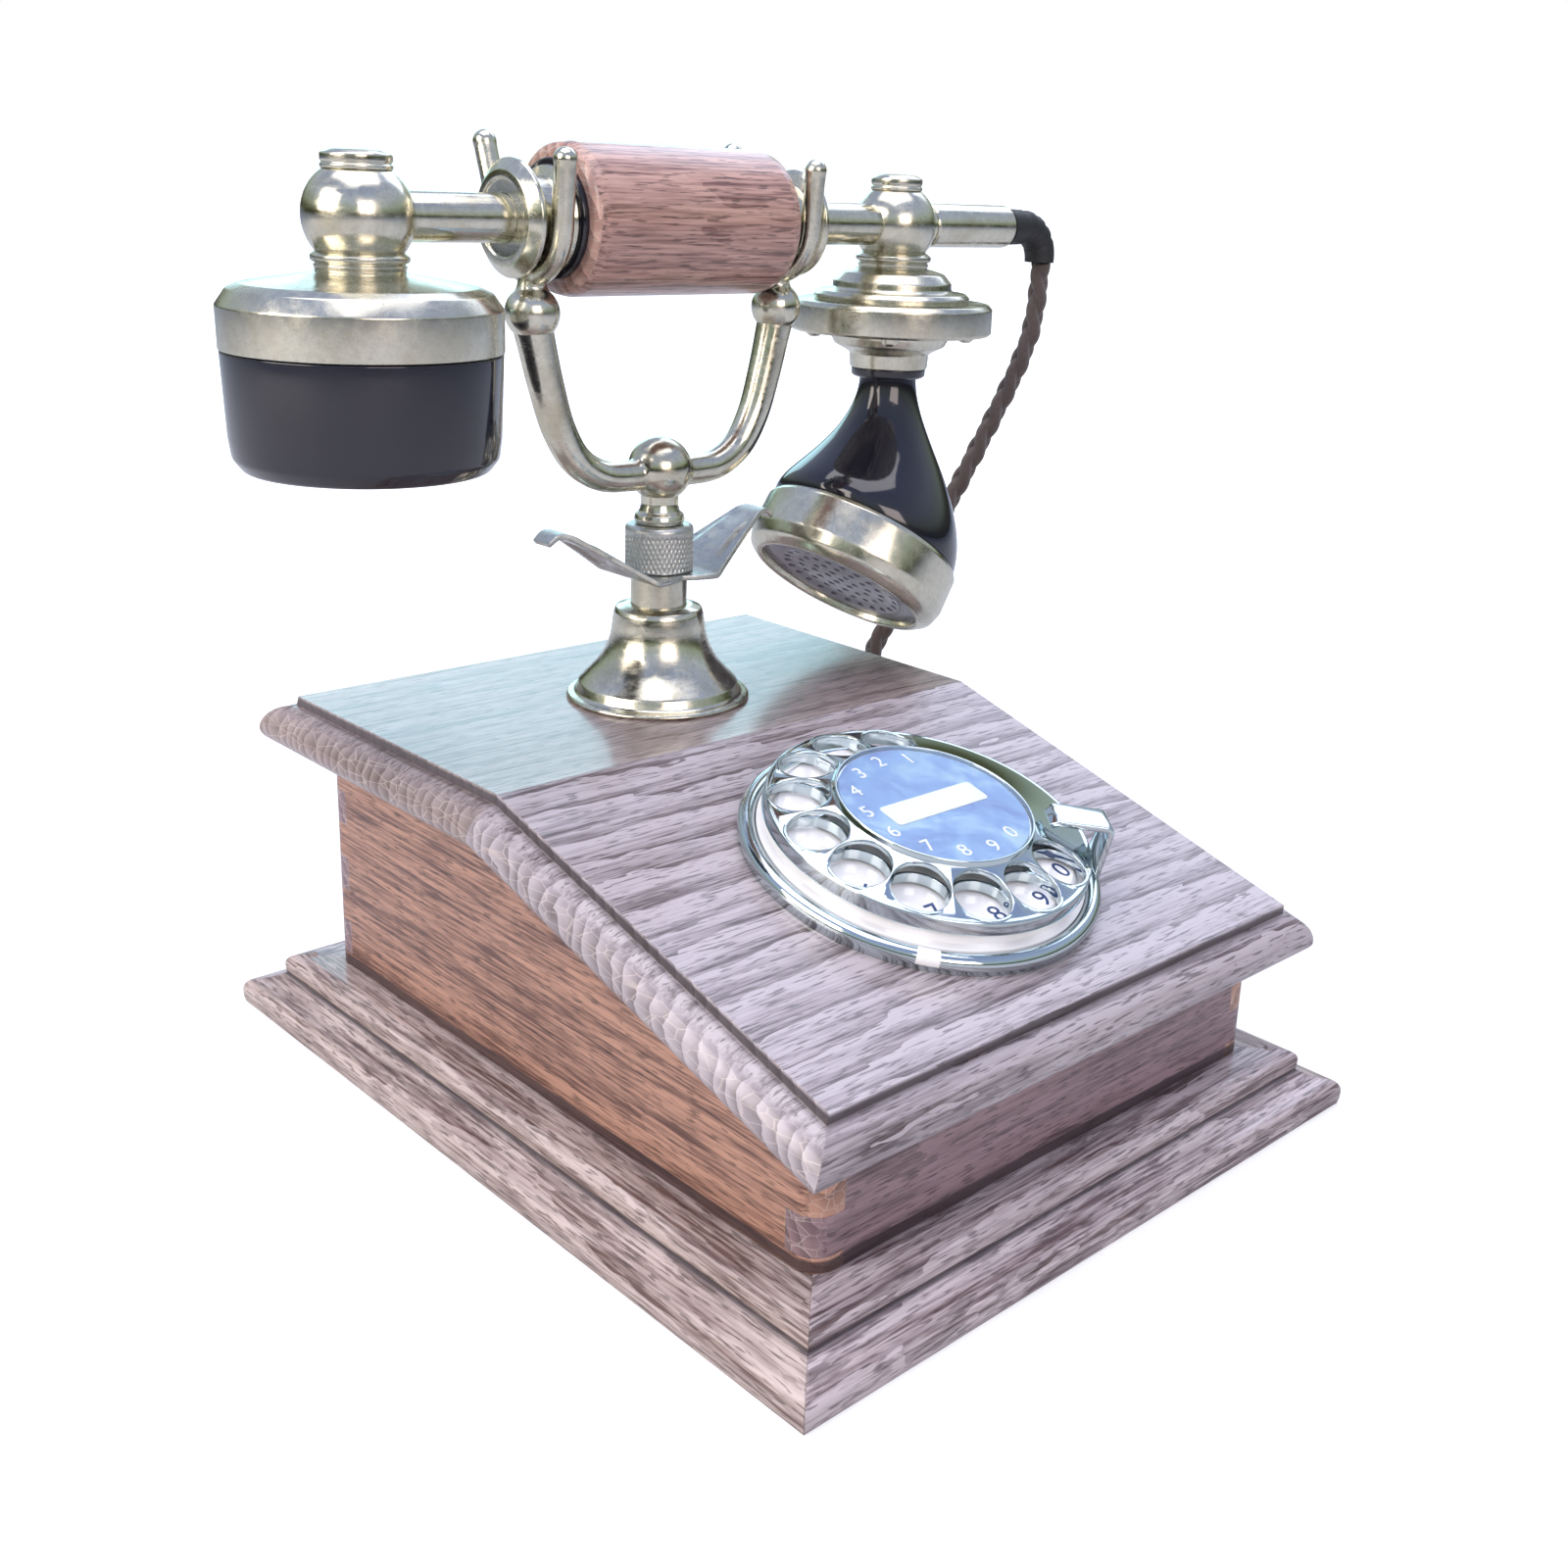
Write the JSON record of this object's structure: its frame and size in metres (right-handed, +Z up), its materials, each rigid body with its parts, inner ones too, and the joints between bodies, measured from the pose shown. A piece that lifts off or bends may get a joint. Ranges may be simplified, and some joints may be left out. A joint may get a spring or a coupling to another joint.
{
  "type": "rotary telephone",
  "caption": "Desk telephone with a sloped wooden case, a rotary dial, a column cradle with forks, and a horn handset on a textile cord.",
  "frame": {"origin": "centre of the flat underside of the case", "axes": "+Z up, +X to the right of a person facing the dial, +Y from the dial towards the back"},
  "size_m": [0.2579, 0.3219, 0.222],
  "materials": {
    "case_wood": "satin lacquer over reddish brown stain",
    "base_wood": "raw plywood",
    "grip_wood": "satin lacquer",
    "nickel": "aged brushed nickel plate",
    "bright_chrome": "polished chrome",
    "black_plastic": "polished black",
    "ivory_enamel": "glossy ivory",
    "blue_card": "printed card",
    "clear_lens": "clear plastic",
    "grille_plastic": "satin grey",
    "rubber": "matt black rubber",
    "cord_textile": "braided grey-brown textile",
    "bell_brass": "satin brass",
    "steel": "zinc plated steel"
  },
  "bodies": {
    "case": {"plinth_front": "case_wood", "plinth_back": "case_wood", "plinth_left": "case_wood", "plinth_right": "case_wood", "base_board": "base_wood", "base_screws": "steel", "case_front_board": "case_wood", "case_back_board": "case_wood", "case_left_board": "case_wood", "case_right_board": "case_wood", "lid_top_board": "case_wood", "lid_slope_board": "case_wood", "dial_bezel": "bright_chrome", "number_plate": "ivory_enamel", "dial_housing": "steel", "finger_stop": "bright_chrome", "stand_base": "nickel", "stand_column": "nickel", "knurled_nut": "nickel", "wing_plate": "nickel", "ringer_frame": "steel", "ringer_coils": "black_plastic", "gongs": "bell_brass", "hook_switch": "black_plastic", "network_block": "black_plastic", "cord_gland": "rubber", "line_inlet": "rubber", "handset_cord_drop": "cord_textile", "handset_cord_coil": "cord_textile", "handset_cord_return": "cord_textile"},
    "cradle": {"cradle_stem": "nickel", "cradle_yoke": "nickel", "cradle_forks": "nickel"},
    "handset": {"handle_tube": "nickel", "handle_grip": "grip_wood", "grip_end_rings": "black_plastic", "fork_collars": "nickel", "handset_tail": "nickel", "cord_grommet": "rubber", "receiver_ball": "nickel", "transmitter_ball": "nickel", "ball_caps": "nickel", "ball_collars": "nickel", "receiver_housing": "nickel", "receiver_cap": "black_plastic", "transmitter_dome": "nickel", "transmitter_disc": "nickel", "transmitter_cup": "nickel", "horn_ring": "black_plastic", "horn": "black_plastic", "mouth_bezel": "nickel", "mouth_grille": "grille_plastic", "voice_capsules": "steel"},
    "dial_rotor": {"dial_shaft": "steel", "finger_wheel": "bright_chrome", "number_card": "blue_card", "dial_lens": "clear_lens", "drive_gear": "bell_brass"},
    "governor": {"governor_pinion": "bell_brass"},
    "clapper": {"clapper": "steel"}
  },
  "joints": [
    {"name": "handset_lift", "type": "slide", "parent": "case", "child": "handset", "axis": [0, 0, 1], "range_m": [0, 0.045], "deforming": ["handset_cord_drop"]},
    {"name": "cradle_rise", "type": "slide", "parent": "case", "child": "cradle", "axis": [0, 0, 1], "range_m": [0, 0.004]},
    {"name": "dial_spin", "type": "hinge", "parent": "case", "child": "dial_rotor", "pos_m": [0.0005, -0.04573, 0.06774], "axis": [0, -0.2703, 0.9628], "range_deg": [-320, 0]},
    {"name": "governor_spin", "type": "hinge", "parent": "case", "child": "governor", "pos_m": [-0.0194, -0.04573, 0.06774], "axis": [0, -0.2703, 0.9628], "range_deg": [0, 960]},
    {"name": "clapper_swing", "type": "hinge", "parent": "case", "child": "clapper", "pos_m": [0, 0.044, 0.022], "axis": [0, 0, 1], "range_deg": [-7, 7]}
  ],
  "couplings": [
    {"joint": "cradle_rise", "follows": "handset_lift", "ratio": 0.088889},
    {"joint": "governor_spin", "follows": "dial_spin", "ratio": -3}
  ]
}
